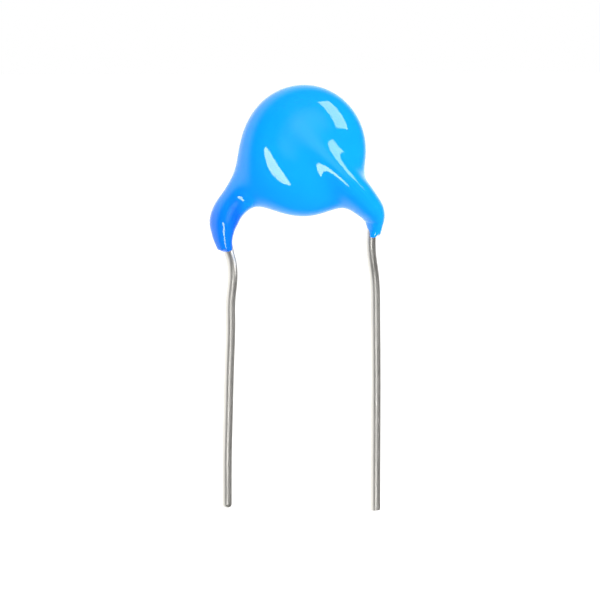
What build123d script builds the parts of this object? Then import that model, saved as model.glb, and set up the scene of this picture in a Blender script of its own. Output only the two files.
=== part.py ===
from build123d import *
import os
from math import cos, radians, sin, sqrt, tan

# A dipped ceramic disc capacitor with two radial leads, in millimetres.
# The origin is midway between the cut ends of the leads. +Z runs up the leads to the disc,
# +X points to the lead that is soldered to the front face, and the front face looks along -Y.

os.makedirs("parts", exist_ok=True)

# Ceramic element and its two fired silver electrodes
ceramic_diameter = 6.8
ceramic_thickness = 2.0
ceramic_edge = 0.15
electrode_diameter = 6.0
electrode_thickness = 0.03

# Leads: each runs slantwise over one face, leaves the disc past its rim and turns down
wire_diameter = 0.6
lead_pitch = 10.0
disc_height = 22.3
disc_offset = 0.17
run_slope = 47.0
run_offset = 0.45
run_start = -1.5
rim_gap = 0.12
end_rounding = 0.1
bend_share = 0.45
bend_length_most = 2.0

# Solder along each lead's run on its electrode
solder_film = 0.05
solder_width = 1.7
solder_length = 4.0
solder_height = 0.5
solder_edge = 0.3

# Dipped coating
rim_wall = 0.7
face_wall = 0.77
rim_radius = 1.45
wire_wall = 0.34
tip_wall = 0.13
root_share = 0.55
root_sink = 0.85
rim_sink = 0.4
ridge_roundness = 0.8

# How far each leg's tip lies below the disc's centre
tip_drop = {"front": 5.4, "rear": 6.2}
# Where each lead bends, as (inset from the pitch line, distance out from the middle plane,
# height): first near the leg, with heights above its tip, then lower, above the cut end
leg_bends = {
    "front": [(0.36, 0.40, 1.15), (0.44, 0.31, -0.6), (0.06, 0.03, -2.9)],
    "rear": [(0.02, 0.60, 1.95), (0.30, 0.48, 0.1), (0.39, 0.0, -1.1)],
}
lower_bends = {"front": [(0.0, 0.0, 11.5)], "rear": [(0.12, 0.0, 7.4), (0.0, 0.0, 3.4)]}

# Half-widths of each leg across the disc's plane: inside the disc, past the rim, above the
# knee, at the knee and halfway down to the tip
leg_spread = {"front": (1.1, 1.4, 1.08, 0.84, 0.62), "rear": (1.1, 1.45, 1.12, 1.0, 0.74)}
leg_depth = 0.95
root_depth = 0.74
# How far the leg's middle lies outside its wire: past the rim, above the knee and at the knee
rim_shift = 0.15
leg_shift = 0.3
knee_shift = 0.12

outward = {"front": -1, "rear": 1}
electrode_face = ceramic_thickness / 2 + electrode_thickness
wire_radius = wire_diameter / 2
wire_level = electrode_face + solder_film + wire_radius
coating_radius = ceramic_diameter / 2 + rim_wall
coating_half = electrode_face + face_wall
ridge_width = 2 * (wire_radius + wire_wall)


def face_plane(side, level):
    # A plane that looks out of one face of the disc, level away from the disc's middle plane
    out = outward[side]
    centre = (disc_offset, out * level, disc_height)
    return Plane(origin=centre, x_dir=(-out, 0, 0), z_dir=(0, out, 0))


def along_run(distance):
    # A point of the lead's straight run, in the face plane's own x and y
    slope = radians(run_slope)
    across = run_offset * sin(slope) + distance * cos(slope)
    up = run_offset * cos(slope) - distance * sin(slope)
    return across, up


def rim_distance():
    # How far along the run the wire is clear of the ceramic's rim
    clear = ceramic_diameter / 2 + wire_radius + rim_gap
    return sqrt(clear**2 - run_offset**2)


def run_point(side, distance, level):
    return face_plane(side, level).from_local_coords(Vector(*along_run(distance), 0))


def tip_height(side):
    return disc_height - tip_drop[side]


def bend_point(side, inset, out, height):
    x = lead_pitch / 2 - inset
    return Vector(-outward[side] * x, outward[side] * out, height)


def leg_bend(side, inset, out, rise):
    return bend_point(side, inset, out, tip_height(side) + rise)


def lead_points(side):
    # The wire's corner points, from its end on the electrode to its cut end
    on_face = [run_point(side, run_start, wire_level), run_point(side, rim_distance(), wire_level)]
    bends = [leg_bend(side, *bend) for bend in leg_bends[side]]
    bends += [bend_point(side, *bend) for bend in lower_bends[side]]
    end = Vector(bends[-1].X, bends[-1].Y, 0)
    return on_face + bends + [end]


def bend_radii(points):
    # The largest arc that each corner's two runs allow, up to a bend of the greatest length
    radii = []
    for before, corner, after in zip(points, points[1:], points[2:]):
        turn = radians((corner - before).get_angle(after - corner))
        room = bend_share * min((corner - before).length, (after - corner).length)
        radii.append(min(bend_length_most / turn, room / tan(turn / 2)))
    return radii


def leg_plane(point, ahead):
    # A plane across the leg whose first direction lies in the plane of the disc
    across = ahead.cross(Vector(0, 1, 0)).normalized()
    return Plane(origin=point, x_dir=across, z_dir=ahead.normalized())


def leg_stations(side):
    # (centre, half-width in the disc's plane, half-depth) of the coating's leg along its wire
    rim = run_point(side, rim_distance(), wire_level)
    knee = leg_bend(side, *leg_bends[side][0])
    below = leg_bend(side, *leg_bends[side][1])
    tip = knee + (below - knee) * ((knee.Z - tip_height(side)) / (knee.Z - below.Z))
    toward_middle = Vector(0, -outward[side], 0)
    outside = Vector(-outward[side] * sin(radians(run_slope)), 0, cos(radians(run_slope)))
    root = run_point(side, rim_distance() * root_share, wire_level) + toward_middle * root_sink
    past_rim = rim + toward_middle * rim_sink + outside * rim_shift
    halfway = (past_rim + knee) / 2 + outside * leg_shift
    bulge = Vector(-outward[side] * knee_shift, 0, 0)
    widths = leg_spread[side]
    tip_radius = wire_radius + tip_wall
    return [
        (root, widths[0], root_depth),
        (past_rim, widths[1], leg_depth),
        (halfway, widths[2], leg_depth),
        (knee + bulge, widths[3], min(widths[3], leg_depth)),
        ((knee + tip + bulge) / 2, widths[4], widths[4]),
        (tip, tip_radius, tip_radius),
    ]


# The fired ceramic disc
with BuildPart() as ceramic_disc:
    with BuildSketch(face_plane("front", -ceramic_thickness / 2)):
        Circle(ceramic_diameter / 2)
    extrude(amount=ceramic_thickness)
    fillet(ceramic_disc.edges().filter_by(GeomType.CIRCLE), radius=ceramic_edge)
ceramic_disc.part.label = "ceramic_disc"
export_step(ceramic_disc.part, "parts/ceramic_disc.step")
inner_parts = [ceramic_disc.part]

# On each face: the electrode, the lead with its bends, and the solder that joins the two
for side in ("front", "rear"):
    with BuildPart() as electrode:
        with BuildSketch(face_plane(side, ceramic_thickness / 2)):
            Circle(electrode_diameter / 2)
        extrude(amount=electrode_thickness)
    electrode.part.label = side + "_electrode"
    export_step(electrode.part, "parts/" + side + "_electrode.step")

    points = lead_points(side)
    with BuildPart() as lead:
        with BuildLine() as route:
            FilletPolyline(*points, radius=bend_radii(points))
        with BuildSketch(Plane(origin=points[0], z_dir=points[1] - points[0])):
            Circle(wire_radius)
        sweep(path=route.wire())
        cut_end = lead.faces().sort_by(Axis.Z)[0]
        fillet(cut_end.edges(), radius=end_rounding)
    lead.part.label = side + "_lead"
    export_step(lead.part, "parts/" + side + "_lead.step")

    with BuildPart() as solder:
        with BuildSketch(face_plane(side, electrode_face)):
            with Locations(along_run(run_start + solder_length / 2 - wire_radius)):
                SlotOverall(solder_length, solder_width, rotation=-run_slope)
        extrude(amount=solder_height)
        crest = solder.faces().sort_by(Axis.Y)[-1 if side == "rear" else 0]
        fillet(crest.edges(), radius=solder_edge)
        add(lead.part, mode=Mode.SUBTRACT)
    solder.part.label = side + "_solder"
    export_step(solder.part, "parts/" + side + "_solder.step")
    inner_parts += [electrode.part, lead.part, solder.part]

# The raised run of coating over each wire
ridges = []
for side in ("front", "rear"):
    with BuildPart() as ridge:
        with BuildSketch(face_plane(side, ceramic_thickness / 2)):
            with Locations(along_run((run_start + rim_distance()) / 2)):
                SlotOverall(rim_distance() - run_start + ridge_width, ridge_width, rotation=-run_slope)
        extrude(amount=wire_level + ridge_width / 2 - ceramic_thickness / 2)
        crest = ridge.faces().sort_by(Axis.Y)[-1 if side == "rear" else 0]
        fillet(crest.edges(), radius=ridge_width / 2 * ridge_roundness)
    ridges.append(ridge.part)

# The dipped coating: a domed disc with a full round rim, and a tapering leg down each wire
half_width = coating_radius - rim_radius
crown_radius = (half_width**2 + coating_half**2 - rim_radius**2) / (2 * (coating_half - rim_radius))
crown_centre = crown_radius - coating_half
reach = rim_radius / sqrt(half_width**2 + crown_centre**2)
shoulder = (half_width * (1 + reach), crown_centre * reach)
with BuildPart() as coating:
    with BuildSketch(Plane(origin=(disc_offset, 0, disc_height), x_dir=(0, 0, 1), z_dir=(-1, 0, 0))):
        with BuildLine():
            front = RadiusArc((0, -coating_half), (shoulder[0], -shoulder[1]), -crown_radius)
            rim = ThreePointArc(front @ 1, (coating_radius, 0), shoulder)
            rear = RadiusArc(rim @ 1, (0, coating_half), -crown_radius)
            Line(rear @ 1, front @ 0)
        make_face()
    revolve(axis=Axis((disc_offset, 0, disc_height), (0, 1, 0)))
    for side in ("front", "rear"):
        stations = leg_stations(side)
        centres = [station[0] for station in stations]
        aheads = [after - before for before, after in zip(centres, centres[2:])]
        aheads = [centres[1] - centres[0]] + aheads + [Vector(0, 0, -1)]
        for (centre, half, depth), ahead in zip(stations, aheads):
            with BuildSketch(leg_plane(centre, ahead)):
                Ellipse(half, depth)
        loft()
    for ridge in ridges:
        add(ridge)
    add(inner_parts, mode=Mode.SUBTRACT)
coating.part.label = "coating"
export_step(coating.part, "parts/coating.step")
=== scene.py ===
from math import cos, pi, radians, sin

import bpy
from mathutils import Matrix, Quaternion, Vector


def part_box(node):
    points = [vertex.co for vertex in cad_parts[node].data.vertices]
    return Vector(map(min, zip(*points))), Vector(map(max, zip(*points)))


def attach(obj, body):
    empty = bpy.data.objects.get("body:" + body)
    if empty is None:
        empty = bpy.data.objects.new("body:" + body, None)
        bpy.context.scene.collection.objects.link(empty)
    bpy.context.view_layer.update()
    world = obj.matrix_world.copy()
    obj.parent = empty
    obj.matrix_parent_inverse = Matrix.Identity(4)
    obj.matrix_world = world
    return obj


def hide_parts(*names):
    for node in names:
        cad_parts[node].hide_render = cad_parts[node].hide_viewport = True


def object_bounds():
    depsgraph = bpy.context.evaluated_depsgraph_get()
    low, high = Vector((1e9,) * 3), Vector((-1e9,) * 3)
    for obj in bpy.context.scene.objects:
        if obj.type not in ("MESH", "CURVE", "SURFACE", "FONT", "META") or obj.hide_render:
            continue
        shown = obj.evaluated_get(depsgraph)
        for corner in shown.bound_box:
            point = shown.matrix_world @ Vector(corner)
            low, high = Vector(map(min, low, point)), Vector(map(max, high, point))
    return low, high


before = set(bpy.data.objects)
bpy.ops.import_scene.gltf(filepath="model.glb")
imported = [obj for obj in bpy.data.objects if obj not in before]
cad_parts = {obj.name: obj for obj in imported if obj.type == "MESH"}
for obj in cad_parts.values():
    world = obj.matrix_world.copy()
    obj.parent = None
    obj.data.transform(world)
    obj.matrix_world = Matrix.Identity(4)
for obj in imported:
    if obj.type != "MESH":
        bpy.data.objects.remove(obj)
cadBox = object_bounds()
mm = 0.001  # the scene itself is in metres
print("frame loaded:", sorted(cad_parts))


class Flow:  # one output of a node; plain arithmetic on it adds the Math nodes
    def __init__(self, net, output):
        self.net = net
        self.output = output

    def math(self, operation, first, second):
        sides = [side for side in (first, second) if isinstance(side, Flow)]
        isVector = any(side.output.type == "VECTOR" for side in sides)
        kind = "ShaderNodeVectorMath" if isVector else "ShaderNodeMath"
        return self.net.node(kind, {"operation": operation}, {0: first, 1: second})

    def __add__(self, other):
        return self.math("ADD", self, other)

    def __radd__(self, other):
        return self.math("ADD", other, self)

    def __sub__(self, other):
        return self.math("SUBTRACT", self, other)

    def __rsub__(self, other):
        return self.math("SUBTRACT", other, self)

    def __mul__(self, other):
        return self.math("MULTIPLY", self, other)

    def __rmul__(self, other):
        return self.math("MULTIPLY", other, self)

    def __truediv__(self, other):
        return self.math("DIVIDE", self, other)

    def __rtruediv__(self, other):
        return self.math("DIVIDE", other, self)

    def __pow__(self, other):
        return self.math("POWER", self, other)

    def scale(self, factor):
        settings = {"operation": "SCALE"}
        return self.net.node("ShaderNodeVectorMath", settings, {0: self, "Scale": factor})

    def length(self):
        return self.net.node("ShaderNodeVectorMath", {"operation": "LENGTH"}, {0: self}, "Value")

    def dot(self, other):
        settings = {"operation": "DOT_PRODUCT"}
        return self.net.node("ShaderNodeVectorMath", settings, {0: self, 1: other}, "Value")

    def parts(self):
        return [self.net.node("ShaderNodeSeparateXYZ", {}, {0: self}, axis) for axis in "XYZ"]


class Net:  # a node tree and the one method that adds a node to it
    def __init__(self, tree):
        self.tree = tree

    def node(self, kind, settings, inputs, output=0):
        made = self.tree.nodes.new(kind)
        for name, value in settings.items():
            if name == "curve":
                self.fillCurve(made.mapping, value)
            else:
                setattr(made, name, value)
        for name, value in inputs.items():
            if isinstance(value, Flow):
                self.tree.links.new(value.output, made.inputs[name])
            else:
                made.inputs[name].default_value = value
        return Flow(self, made.outputs[output]) if made.outputs else made

    def fillCurve(self, mapping, points):
        curve = mapping.curves[0]
        while len(curve.points) < len(points):
            curve.points.new(0.5, 0.5)
        for point, place in zip(curve.points, points):
            point.location = place
        mapping.update()

    def math(self, operation, first, second):
        return self.node("ShaderNodeMath", {"operation": operation}, {0: first, 1: second})

    def least(self, first, second):
        return self.math("MINIMUM", first, second)

    def most(self, first, second):
        return self.math("MAXIMUM", first, second)

    def fade(self, value, start, end):  # 0 at the start, 1 at the end, smooth between
        settings = {"interpolation_type": "SMOOTHSTEP"}
        return self.node("ShaderNodeMapRange", settings, {0: value, 1: start, 2: end})

    def noise(self, place, scale, detail):
        inputs = {"Vector": place, "Scale": scale, "Detail": detail}
        return self.node("ShaderNodeTexNoise", {}, inputs)

    def bump(self, strength, depth, height):
        inputs = {"Strength": strength, "Distance": depth, "Height": height}
        return self.node("ShaderNodeBump", {}, inputs)

    def mixColour(self, factor, first, second):
        sides = {0: factor, 6: (*first, 1) if isinstance(first, tuple) else first}
        sides[7] = (*second, 1) if isinstance(second, tuple) else second
        return self.node("ShaderNodeMix", {"data_type": "RGBA"}, sides, 2)


# Where things are, read from the frame
def middleOf(corners):
    low, high = corners
    return (low + high) / 2


def footOf(node):  # the middle of a lead's cut end
    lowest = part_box(node)[0].z
    corners = [corner.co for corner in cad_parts[node].data.vertices]
    end = [corner for corner in corners if corner.z < lowest + 0.2 * mm]  # the wire's last bit
    xs, ys = zip(*[corner.xy for corner in end])
    return Vector(((min(xs) + max(xs)) / 2, (min(ys) + max(ys)) / 2, lowest))


def wayTo(azimuth, elevation):  # 0, 0 looks out of the front face, angles in degrees
    turn, tilt = radians(azimuth), radians(elevation)
    return Vector((sin(turn) * cos(tilt), -cos(turn) * cos(tilt), sin(tilt)))


discMiddle = middleOf(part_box("ceramic_disc"))
feet = {side: footOf(side + "_lead") for side in ("front", "rear")}
print("disc at", discMiddle, "feet at", feet)


def newTree(name, sockets):
    tree = bpy.data.node_groups.new(name, "GeometryNodeTree")
    for label, kind in sockets.items():
        tree.interface.new_socket(label, in_out="INPUT", socket_type="NodeSocket" + kind)
    net = Net(tree)
    given = tree.nodes.new("NodeGroupInput")
    return tree, net, {label: Flow(net, given.outputs[label]) for label in sockets}


def endTree(net, label, kind, result):
    net.tree.interface.new_socket(label, in_out="OUTPUT", socket_type="NodeSocket" + kind)
    net.node("NodeGroupOutput", {}, {label: result})


def endInMesh(net, shape, material):
    real = net.node("GeometryNodeRealizeInstances", {}, {"Geometry": shape})
    done = net.node("GeometryNodeSetMaterial", {}, {"Geometry": real, "Material": material})
    endTree(net, "Mesh", "Geometry", done)


def pathObject(name, start, points):  # a smooth curve; its points are in mm from the start
    data = bpy.data.curves.new(name, "CURVE")
    data.dimensions = "3D"
    data.resolution_u = 24
    spline = data.splines.new("BEZIER")
    spline.bezier_points.add(len(points) - 1)
    for point, place in zip(spline.bezier_points, points):
        point.co = start + Vector(place) * mm
        point.handle_left_type = "AUTO"
        point.handle_right_type = "AUTO"
    holder = bpy.data.objects.new(name, data)
    bpy.context.scene.collection.objects.link(holder)
    return holder


def makeByNodes(name, tree, values):  # runs a geometry tree once and keeps its mesh
    holder = bpy.data.objects.new(name + "_source", bpy.data.meshes.new(name + "_source"))
    bpy.context.scene.collection.objects.link(holder)
    modifier = holder.modifiers.new("nodes", "NODES")
    modifier.node_group = tree
    for item in tree.interface.items_tree:
        if item.in_out == "INPUT":
            modifier[item.identifier] = values[item.name]
    bpy.context.view_layer.update()
    depsgraph = bpy.context.evaluated_depsgraph_get()
    made = holder.evaluated_get(depsgraph)
    mesh = bpy.data.meshes.new_from_object(made, depsgraph=depsgraph)
    mesh.name = name
    bpy.data.objects.remove(holder)
    piece = bpy.data.objects.new(name, mesh)
    bpy.context.scene.collection.objects.link(piece)
    print(name, "has", len(mesh.vertices), "points and", len(mesh.polygons), "faces")
    return piece


# The dipped coating: a pebble round the disc and a skin round each wire, run together.
# Its places and heights are in mm from the disc's middle
coating = {
    "radius": 4.10 * mm,
    "halfThickness": 1.80 * mm,
    "fullness": 2.25,  # 2 is an ellipse, more is squarer at the rim
    "gridStep": 0.06 * mm,
    "gridMargin": 0.4 * mm,
    "lineStep": 0.02 * mm,
    "pulls": 3,  # how many times each point is pulled onto the exact surface
    "probe": 0.01 * mm,
    # each leg's middle line, from the face down to just below its tip
    "frontLine": [
        (-0.86, -0.68, 1.30), (0.08, -0.90, 0.25), (1.00, -1.10, -0.65), (1.88, -1.22, -1.50),
        (2.73, -1.20, -2.30), (3.73, -0.96, -3.22), (4.44, -0.63, -4.00), (4.60, -0.45, -4.70),
        (4.52, -0.33, -5.60),
    ],
    "rearLine": [
        (0.52, 0.72, 1.40), (-1.42, 0.88, -0.30), (-3.17, 0.92, -1.90), (-4.22, 0.91, -3.05),
        (-4.95, 0.78, -4.10), (-5.17, 0.60, -5.10), (-4.97, 0.50, -6.40),
    ],
    # (height, radius) of the skin along each line
    "frontRadius": [
        (-5.4, 0.40), (-5.0, 0.45), (-4.5, 0.58), (-3.8, 0.77), (-3.0, 0.84), (-2.3, 0.80),
        (-1.6, 0.78), (-0.3, 0.72), (2.2, 0.60),
    ],
    "rearRadius": [
        (-6.2, 0.44), (-5.7, 0.54), (-5.1, 0.70), (-4.3, 0.90), (-3.7, 0.92), (-3.0, 0.88),
        (-1.7, 0.82), (-0.7, 0.76), (0.7, 0.65), (2.2, 0.5),
    ],
    # (height, width) of the soft web where each leg runs into the pebble
    "frontBlend": [(-6.3, 2.6), (-3.3, 2.6), (-2.1, 2.0), (-0.8, 1.4), (2.2, 1.5)],
    "rearBlend": [(-6.3, 2.6), (-4.3, 2.6), (-2.8, 3.0), (-1.3, 3.4), (0.2, 2.6), (2.2, 1.5)],
    "curveHeights": (-6.3, 2.7),
    "mostRadius": 2.0,
    "mostBlend": 4.0,
    # each leg's ragged lower edge: its height, and its slant and waviness there
    "frontTip": {"height": -5.4, "slant": 0.25},
    "rearTip": {"height": -6.2, "slant": -0.18},
    "waviness": 0.35 * mm,
    "waveScale": 3600.0,
    "tipReach": 2 * mm,
    "tipRounding": 0.12 * mm,
    # these keep the sums sound at the pebble's very centre and away from the tips
    "leastShare": 0.03,
    "leastReach": 0.1 * mm,
    "farAway": 20 * mm,
    "outside": -5.0,  # what the grid holds beyond its own box
}
pebbleSizes = {"Radius": "Float", "Half thickness": "Float", "Fullness": "Float"}
legLines = {"Front line": "Geometry", "Rear line": "Geometry"}


def heightCurve(points, most):  # fits (height, value) points into a curve's 0 to 1
    lowest, highest = coating["curveHeights"]
    return [((height - lowest) / (highest - lowest), value / most) for height, value in points]


def alongLeg(net, height, side, kind):  # the leg's radius or blend at this height
    lowest, highest = coating["curveHeights"]
    share = (height - discMiddle.z - lowest * mm) / ((highest - lowest) * mm)
    most = coating["most" + kind]
    curve = heightCurve(coating[side + kind], most)
    return net.node("ShaderNodeFloatCurve", {"curve": curve}, {"Value": share}) * (most * mm)


def coatingDistance():  # how far a place is from the coating's surface, less than 0 inside
    tree, net, given = newTree("coating_distance", {"Place": "Vector", **legLines, **pebbleSizes})
    place = given["Place"]
    away = place - tuple(discMiddle)
    x, y, z = away.parts()
    full = given["Fullness"]
    across = (x * x + z * z) ** 0.5 / given["Radius"]
    deep = net.most(y, 0 - y) / given["Half thickness"]
    share = net.most((across ** full + deep ** full) ** (1 / full), coating["leastShare"])
    reach = net.most(away.length(), coating["leastReach"])
    total = reach - reach / share
    for side in ("front", "rear"):
        line = {0: given[side.title() + " line"], "Sample Position": place}
        edges = {"target_element": "EDGES"}
        distance = net.node("GeometryNodeProximity", edges, line, "Distance")
        height = net.node("GeometryNodeProximity", edges, line, "Position").parts()[2]
        skin = distance - alongLeg(net, height, side, "Radius")
        sides = {0: total, 1: skin, 2: alongLeg(net, height, side, "Blend")}
        total = net.node("ShaderNodeMath", {"operation": "SMOOTH_MIN"}, sides)
    for side in ("front", "rear"):
        tip = coating[side + "Tip"]
        foot = Vector(coating[side + "Line"][-1])
        x, y, z = (place - tuple(discMiddle + foot * mm)).parts()
        waves = {"Vector": place, "Scale": coating["waveScale"]}
        ragged = net.node("ShaderNodeTexNoise", {"noise_dimensions": "2D"}, waves)
        edge = (tip["height"] - foot.z) * mm + x * tip["slant"] + (ragged - 0.5) * coating["waviness"]
        near = net.math("LESS_THAN", (x * x + y * y) ** 0.5, coating["tipReach"])
        cut = edge - z - (1 - near) * coating["farAway"]
        sides = {0: total, 1: cut, 2: coating["tipRounding"]}
        total = net.node("ShaderNodeMath", {"operation": "SMOOTH_MAX"}, sides)
    endTree(net, "Distance", "Float", total)
    return tree


def coatingTree(distanceTree, material):
    corners = {"Low": "Vector", "High": "Vector"}
    sockets = {**dict.fromkeys(legLines, "Object"), **pebbleSizes, "Step": "Float", **corners}
    tree, net, given = newTree("dipped_coating", sockets)
    shape = {size: given[size] for size in pebbleSizes}
    for label in legLines:
        path = net.node("GeometryNodeObjectInfo", {}, {"Object": given[label]}, "Geometry")
        steps = {"Curve": path, "Length": coating["lineStep"]}
        fine = net.node("GeometryNodeResampleCurve", {"mode": "LENGTH"}, steps)
        shape[label] = net.node("GeometryNodeCurveToMesh", {}, {"Curve": fine})

    def distanceAt(place):
        return net.node("GeometryNodeGroup", {"node_tree": distanceTree}, {"Place": place, **shape})

    here = net.node("GeometryNodeInputPosition", {}, {})
    size = (given["High"] - given["Low"]).parts()
    depth = distanceAt(here) * (-1 / mm)  # in mm, and more than 0 inside
    block = {"Density": depth, "Background": coating["outside"]}
    block.update({"Min": given["Low"], "Max": given["High"]})
    block.update({"Resolution " + axis: side / given["Step"] for axis, side in zip("XYZ", size)})
    volume = net.node("GeometryNodeVolumeCube", {}, block)
    asGrid = {"resolution_mode": "GRID"}
    mesh = net.node("GeometryNodeVolumeToMesh", asGrid, {"Volume": volume, "Threshold": 0.0})
    for pull in range(coating["pulls"]):
        gap = distanceAt(here)
        slopes = []
        for axis in range(3):
            shift = [0.0, 0.0, 0.0]
            shift[axis] = coating["probe"]
            slopes.append((distanceAt(here + tuple(shift)) - gap) / coating["probe"])
        slope = net.node("ShaderNodeCombineXYZ", {}, dict(zip("XYZ", slopes)))
        move = slope.scale(gap / slope.dot(slope) * -1)
        mesh = net.node("GeometryNodeSetPosition", {}, {"Geometry": mesh, "Offset": move})
    smooth = net.node("GeometryNodeSetShadeSmooth", {}, {0: mesh})
    endInMesh(net, smooth, material)
    return tree


def newMaterial(name):
    material = bpy.data.materials.new(name)
    material.use_nodes = True
    material.node_tree.nodes.clear()
    return material, Net(material.node_tree)


def finishMaterial(net, shader):
    net.node("ShaderNodeOutputMaterial", {}, {"Surface": shader})


epoxy = {
    "dark": (0.001, 0.27, 0.93),
    "light": (0.002, 0.32, 0.97),
    "cloudScale": 260.0,
    "rough": 0.36,  # of the colour under the clear gloss
    "roughSpread": 0.08,
    "gloss": 0.9,
    "glossRough": 0.035,
    "ripple": {"scale": 2600.0, "strength": 0.05, "depth": 0.02 * mm},
    # painted shade: the rear wire's leg is painted darker, most of all on its inner side, where the
    # disc shades it. Each pair says where, from the disc's middle, the painted shade starts and is
    # full
    "leg": (0.001, 0.19, 0.86),
    "legInside": (0.001, 0.09, 0.58),
    "legHeights": (-1.70 * mm, -4.30 * mm),
    "legStarts": (-3.37 * mm, -4.87 * mm),
    "innerShadeStarts": (-5.47 * mm, -4.27 * mm),
}


def blueEpoxy():
    material, net = newMaterial("blue_epoxy")
    place = net.node("ShaderNodeTexCoord", {}, {}, "Object")
    cloud = net.noise(place, epoxy["cloudScale"], 2.0)
    colour = net.mixColour(cloud, epoxy["dark"], epoxy["light"])
    x, y, z = (place - tuple(discMiddle)).parts()
    # painted shade on the rear leg, painted darker still on its inner side, where the disc shades it
    leg = net.fade(z, *epoxy["legHeights"]) * net.fade(x, *epoxy["legStarts"])
    colour = net.mixColour(leg, colour, epoxy["leg"])
    inside = leg * net.fade(x, *epoxy["innerShadeStarts"])
    colour = net.mixColour(inside, colour, epoxy["legInside"])
    ripple = epoxy["ripple"]
    bump = net.bump(ripple["strength"], ripple["depth"], net.noise(place, ripple["scale"], 3.0))
    rough = epoxy["rough"] + epoxy["roughSpread"] * cloud
    looks = {"Base Color": colour, "Roughness": rough, "Normal": bump}
    looks.update({"IOR": 1.5, "Specular IOR Level": 0.03, "Coat IOR": 1.5})
    looks.update({"Coat Weight": epoxy["gloss"], "Coat Roughness": epoxy["glossRough"]})
    finishMaterial(net, net.node("ShaderNodeBsdfPrincipled", {}, looks))
    return material


low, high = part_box("coating")
margin = Vector((1, 1, 1)) * coating["gridMargin"]
lines = {}
for side in ("front", "rear"):
    lines[side.title() + " line"] = pathObject(side + "_line", discMiddle, coating[side + "Line"])
values = {
    **lines,
    "Radius": coating["radius"],
    "Half thickness": coating["halfThickness"],
    "Fullness": coating["fullness"],
    "Step": coating["gridStep"],
    "Low": tuple(low - margin),
    "High": tuple(high + margin),
}
coatingNodes = coatingTree(coatingDistance(), blueEpoxy())
coatingPiece = makeByNodes("dipped_coating", coatingNodes, values)
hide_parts("coating")
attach(coatingPiece, "root")
for line in lines.values():
    bpy.data.objects.remove(line)

# The two tinned leads. Each route runs from inside the coating's leg to the cut end, and its
# points are in mm from the foot of the lead in the frame
leads = {
    "radius": 0.30 * mm,
    "sides": 40,
    "step": 0.035 * mm,
    "ripple": 0.012 * mm,
    "rippleScale": 900.0,
    "slantReach": 0.3 * mm,
    "sharpEdge": 0.6,
    "frontRoute": [
        (-0.36, -0.40, 18.05), (-0.42, -0.31, 16.3), (-0.04, -0.03, 14.0), (0.03, 0, 11.5),
        (0.04, 0, -0.33),
    ],
    "rearRoute": [
        (0.02, 0.60, 18.05), (0.34, 0.48, 16.2), (0.42, 0, 15.0), (0.28, 0, 12.8), (0.28, 0, 11.3),
        (0.20, 0, 9.0), (0.14, 0, 6.8), (0.05, 0, 3.4), (0.04, 0, 0.19),
    ],
    "frontEnd": {"Rounding": 0.07 * mm, "Slant": 0.10},
    "rearEnd": {"Rounding": 0.26 * mm, "Slant": -0.05},
}


def leadTree(material):
    floats = ("Radius", "Step", "Ripple", "Rounding", "Slant")
    sockets = {"Route": "Object", **dict.fromkeys(floats, "Float"), "Foot": "Vector"}
    tree, net, given = newTree("tinned_lead", sockets)
    route = net.node("GeometryNodeObjectInfo", {}, {"Object": given["Route"]}, "Geometry")
    steps = {"Curve": route, "Length": given["Step"]}
    fine = net.node("GeometryNodeResampleCurve", {"mode": "LENGTH"}, steps)
    along = net.node("GeometryNodeSplineParameter", {}, {}, "Length")
    toEnd = net.node("GeometryNodeSplineLength", {}, {}, "Length") - along
    short = 1 - net.least(toEnd / given["Rounding"], 1.0)
    rounded = given["Rounding"] * net.most(1 - short * short, 0.0) ** 0.5
    keep = given["Radius"] - given["Rounding"] + rounded
    ring = {"Resolution": leads["sides"], "Radius": 1.0}
    circle = net.node("GeometryNodeCurvePrimitiveCircle", {}, ring)
    profile = {"Curve": fine, "Profile Curve": circle, "Scale": keep, "Fill Caps": True}
    tube = net.node("GeometryNodeCurveToMesh", {}, profile)
    here = net.node("GeometryNodeInputPosition", {}, {})
    out = net.node("GeometryNodeInputNormal", {}, {})
    wave = net.noise(here, leads["rippleScale"], 1.0) - 0.5
    x, y, z = (here - given["Foot"]).parts()
    near = net.most(1 - z / leads["slantReach"], 0.0)
    bent = net.node("ShaderNodeCombineXYZ", {}, {"Z": x * given["Slant"] * near})
    shift = out.scale(wave * given["Ripple"]) + bent
    worked = net.node("GeometryNodeSetPosition", {}, {"Geometry": tube, "Offset": shift})
    angle = net.node("GeometryNodeInputMeshEdgeAngle", {}, {})
    isMore = {"operation": "GREATER_THAN"}
    sharp = net.node("FunctionNodeCompare", isMore, {0: angle, 1: leads["sharpEdge"]})
    byFace = {0: worked, "Shade Smooth": True}
    smooth = net.node("GeometryNodeSetShadeSmooth", {"domain": "FACE"}, byFace)
    byEdge = {0: smooth, "Selection": sharp, "Shade Smooth": False}
    edged = net.node("GeometryNodeSetShadeSmooth", {"domain": "EDGE"}, byEdge)
    endInMesh(net, edged, material)
    return tree


tin = {
    "dark": (0.54, 0.53, 0.49),
    "light": (0.84, 0.82, 0.78),
    "rough": 0.42,
    "roughSpread": 0.14,
    "streakScale": 5200.0,
    "stretch": (1, 1, 0.06),  # the streaks run along the wire
    "streakShare": 0.6,  # of the colour; the patches give the rest
    "patchScale": 1100.0,
    "grainScale": 9000.0,
    "grainShare": 0.4,
    "bump": 0.35,
    "relief": 0.012 * mm,
}


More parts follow.
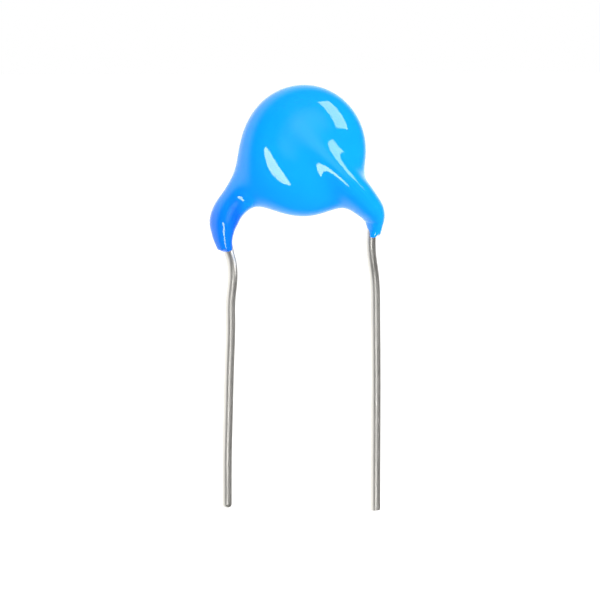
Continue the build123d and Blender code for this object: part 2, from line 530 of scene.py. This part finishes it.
def tinnedWire():
    material, net = newMaterial("tinned_wire")
    place = net.node("ShaderNodeTexCoord", {}, {}, "Object")
    drawn = net.node("ShaderNodeMapping", {}, {"Vector": place, "Scale": tin["stretch"]})
    streak = net.noise(drawn, tin["streakScale"], 4.0)
    patch = net.noise(place, tin["patchScale"], 3.0)
    grain = net.noise(place, tin["grainScale"], 2.0)
    share = tin["streakShare"]
    colour = net.mixColour(streak * share + patch * (1 - share), tin["dark"], tin["light"])
    bump = net.bump(tin["bump"], tin["relief"], streak + grain * tin["grainShare"])
    rough = tin["rough"] + tin["roughSpread"] * patch
    looks = {"Base Color": colour, "Metallic": 1.0, "Roughness": rough, "Normal": bump}
    finishMaterial(net, net.node("ShaderNodeBsdfPrincipled", {}, looks))
    return material


leadNodes = leadTree(tinnedWire())
for side, foot in feet.items():
    route = pathObject(side + "_route", foot, leads[side + "Route"])
    cutEnd = foot + Vector(leads[side + "Route"][-1]) * mm
    values = {"Route": route, "Radius": leads["radius"], "Step": leads["step"]}
    values.update({"Ripple": leads["ripple"], "Foot": tuple(cutEnd), **leads[side + "End"]})
    piece = makeByNodes("tinned_" + side + "_lead", leadNodes, values)
    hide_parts(side + "_lead")
    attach(piece, "root")
    bpy.data.objects.remove(route)


# The parts inside keep their solids and get their real finishes
ceramic = {
    "dark": (0.42, 0.30, 0.20),
    "light": (0.56, 0.43, 0.30),
    "rough": 0.6,
    "toneScale": 900.0,
    "poreScale": 9000.0,
}
metals = {
    "fired_silver": {
        "dark": (0.62, 0.60, 0.55), "light": (0.86, 0.84, 0.80), "rough": 0.35, "scale": 4200.0,
    },
    "joint_solder": {
        "dark": (0.42, 0.42, 0.42), "light": (0.66, 0.66, 0.67), "rough": 0.25, "scale": 1500.0,
    },
}
relief = {"strength": 0.3, "depth": 0.01 * mm}  # of all the parts inside
roughSpread = 0.2


def firedCeramic():
    material, net = newMaterial("fired_ceramic")
    place = net.node("ShaderNodeTexCoord", {}, {}, "Object")
    tone = net.noise(place, ceramic["toneScale"], 4.0)
    grains = {"Vector": place, "Scale": ceramic["poreScale"]}
    pores = net.node("ShaderNodeTexVoronoi", {}, grains)
    colour = net.mixColour(tone, ceramic["dark"], ceramic["light"])
    looks = {"Base Color": colour, "Roughness": ceramic["rough"] + roughSpread * tone}
    looks["Normal"] = net.bump(height=pores, **relief)
    finishMaterial(net, net.node("ShaderNodeBsdfPrincipled", {}, looks))
    return material


def greyMetal(name, dark, light, rough, scale):
    material, net = newMaterial(name)
    place = net.node("ShaderNodeTexCoord", {}, {}, "Object")
    tone = net.noise(place, scale, 4.0)
    colour = net.mixColour(tone, dark, light)
    looks = {"Base Color": colour, "Metallic": 1.0, "Roughness": rough + roughSpread * tone}
    looks["Normal"] = net.bump(height=tone, **relief)
    finishMaterial(net, net.node("ShaderNodeBsdfPrincipled", {}, looks))
    return material


silver = greyMetal("fired_silver", **metals["fired_silver"])
solder = greyMetal("joint_solder", **metals["joint_solder"])
finishes = {"ceramic_disc": firedCeramic()}
for side in ("front", "rear"):
    finishes[side + "_electrode"] = silver
    finishes[side + "_solder"] = solder
for node, material in finishes.items():
    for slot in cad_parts[node].material_slots:
        slot.material = material
print("finished inside:", sorted(finishes))

# Camera, aimed close to the middle of the whole part
camera = {
    "azimuth": -22.0,
    "elevation": 3.0,
    "distance": 300 * mm,
    "seen": 37.36 * mm,  # the width that fills the frame
    "sensor": 36.0,
    "aim": (0.16 * mm, 0, -0.2 * mm),  # from the middle of the frame's box
    "clip": (1 * mm, 100.0),  # the nearest and farthest it sees
}
aim = middleOf(cadBox) + Vector(camera["aim"])
back = wayTo(camera["azimuth"], camera["elevation"])
eye = bpy.data.objects.new("camera", bpy.data.cameras.new("camera"))
bpy.context.scene.collection.objects.link(eye)
eye.location = aim + back * camera["distance"]
eye.rotation_mode = "QUATERNION"
eye.rotation_quaternion = (-back).to_track_quat("-Z", "Y")
eye.data.sensor_width = camera["sensor"]
eye.data.lens = camera["sensor"] * camera["distance"] / camera["seen"]
eye.data.clip_start, eye.data.clip_end = camera["clip"]
bpy.context.scene.camera = eye
bpy.context.scene.view_settings.view_transform = "Standard"
print("camera at", eye.location)

# The room: how bright it is each way, the lamps in it and its paper floor. A lamp's distance is
# from the disc's middle, and it is in metres like the lamp's size
studio = {
    "front": 0.05,
    "behind": 1.6,
    "behindWay": (-0.30, 0.93),
    "behindFade": (-0.25, 0.45),
    "above": 0.10,
    "aboveFade": (0.5, 1.0),
    "wall": 0.9,  # a dim pale patch that the gloss picks up in front
    "wallWay": (13, 17),
    "wallFade": (0.90, 1.0),
    "floorDrop": 9 * mm,
    "floorReach": 6.0,
    "paper": 0.85,
    "paperGlow": 1.7,  # makes the paper white to the camera alone, and keeps its shadow
    "paperShare": 0.4,
}
lamps = {
    "window": {
        "azimuth": 50, "elevation": 28, "distance": 0.5, "size": (0.15, 0.26), "radiance": 8.0,
    },
    "low_strip": {
        "azimuth": -12, "elevation": -12, "distance": 0.5, "size": (0.11, 0.47), "radiance": 9.5,
        "roll": 42, "shape": "ELLIPSE",
    },
    "fill": {
        "azimuth": 15, "elevation": 36, "distance": 0.6, "size": (0.4, 0.4), "radiance": 5.7,
        "glossy": False,
    },
}
world = bpy.data.worlds.new("studio")
world.use_nodes = True
world.node_tree.nodes.clear()
bpy.context.scene.world = world
net = Net(world.node_tree)
seen = net.node("ShaderNodeLightPath", {}, {}, "Is Camera Ray")
x, y, z = net.node("ShaderNodeTexCoord", {}, {}, "Generated").parts()
turned = y * studio["behindWay"][1] + x * studio["behindWay"][0]
behind = net.fade(turned, *studio["behindFade"])
above = net.fade(z, *studio["aboveFade"])
wallWay = wayTo(*studio["wallWay"])
wall = net.fade(x * wallWay.x + y * wallWay.y + z * wallWay.z, *studio["wallFade"])
room = studio["front"] + behind * (studio["behind"] - studio["front"]) + above * studio["above"]
room = room + wall * studio["wall"]
level = room + seen * (1 - room)
backdrop = net.node("ShaderNodeBackground", {}, {"Color": (1, 1, 1, 1), "Strength": level})
net.node("ShaderNodeOutputWorld", {}, {"Surface": backdrop})


def softbox(
    name, azimuth, elevation, distance, size, radiance, roll=0, shape="RECTANGLE", glossy=True
):
    data = bpy.data.lights.new(name, "AREA")
    data.shape = shape
    data.size, data.size_y = size
    data.energy = radiance * pi * size[0] * size[1]
    lamp = bpy.data.objects.new(name, data)
    bpy.context.scene.collection.objects.link(lamp)
    toward = wayTo(azimuth, elevation)
    lamp.location = discMiddle + toward * distance
    lamp.rotation_mode = "QUATERNION"
    lamp.rotation_quaternion = toward.to_track_quat("Z", "Y") @ Quaternion((0, 0, 1), radians(roll))
    lamp.visible_camera = False
    lamp.visible_glossy = glossy


for name, lamp in lamps.items():
    softbox(name, **lamp)
print("lamps:", sorted(lamps))

reach = studio["floorReach"]
outline = [(-reach, -reach), (reach, -reach), (reach, reach), (-reach, reach)]
floorMesh = bpy.data.meshes.new("floor")
floorMesh.from_pydata([(x, y, -studio["floorDrop"]) for x, y in outline], [], [(0, 1, 2, 3)])
floor = bpy.data.objects.new("floor", floorMesh)
bpy.context.scene.collection.objects.link(floor)
paper, net = newMaterial("white_paper")
seen = net.node("ShaderNodeLightPath", {}, {}, "Is Camera Ray")
white = {"Color": (1, 1, 1, 1), "Strength": studio["paperGlow"]}
glow = net.node("ShaderNodeEmission", {}, white)
matte = net.node("ShaderNodeBsdfDiffuse", {}, {"Color": (*[studio["paper"]] * 3, 1)})
both = {0: seen * studio["paperShare"], 1: matte, 2: glow}
finishMaterial(net, net.node("ShaderNodeMixShader", {}, both))
floorMesh.materials.append(paper)
floor.visible_glossy = False  # the gloss of the coating sees the dark front of the room instead
print("room and floor done")
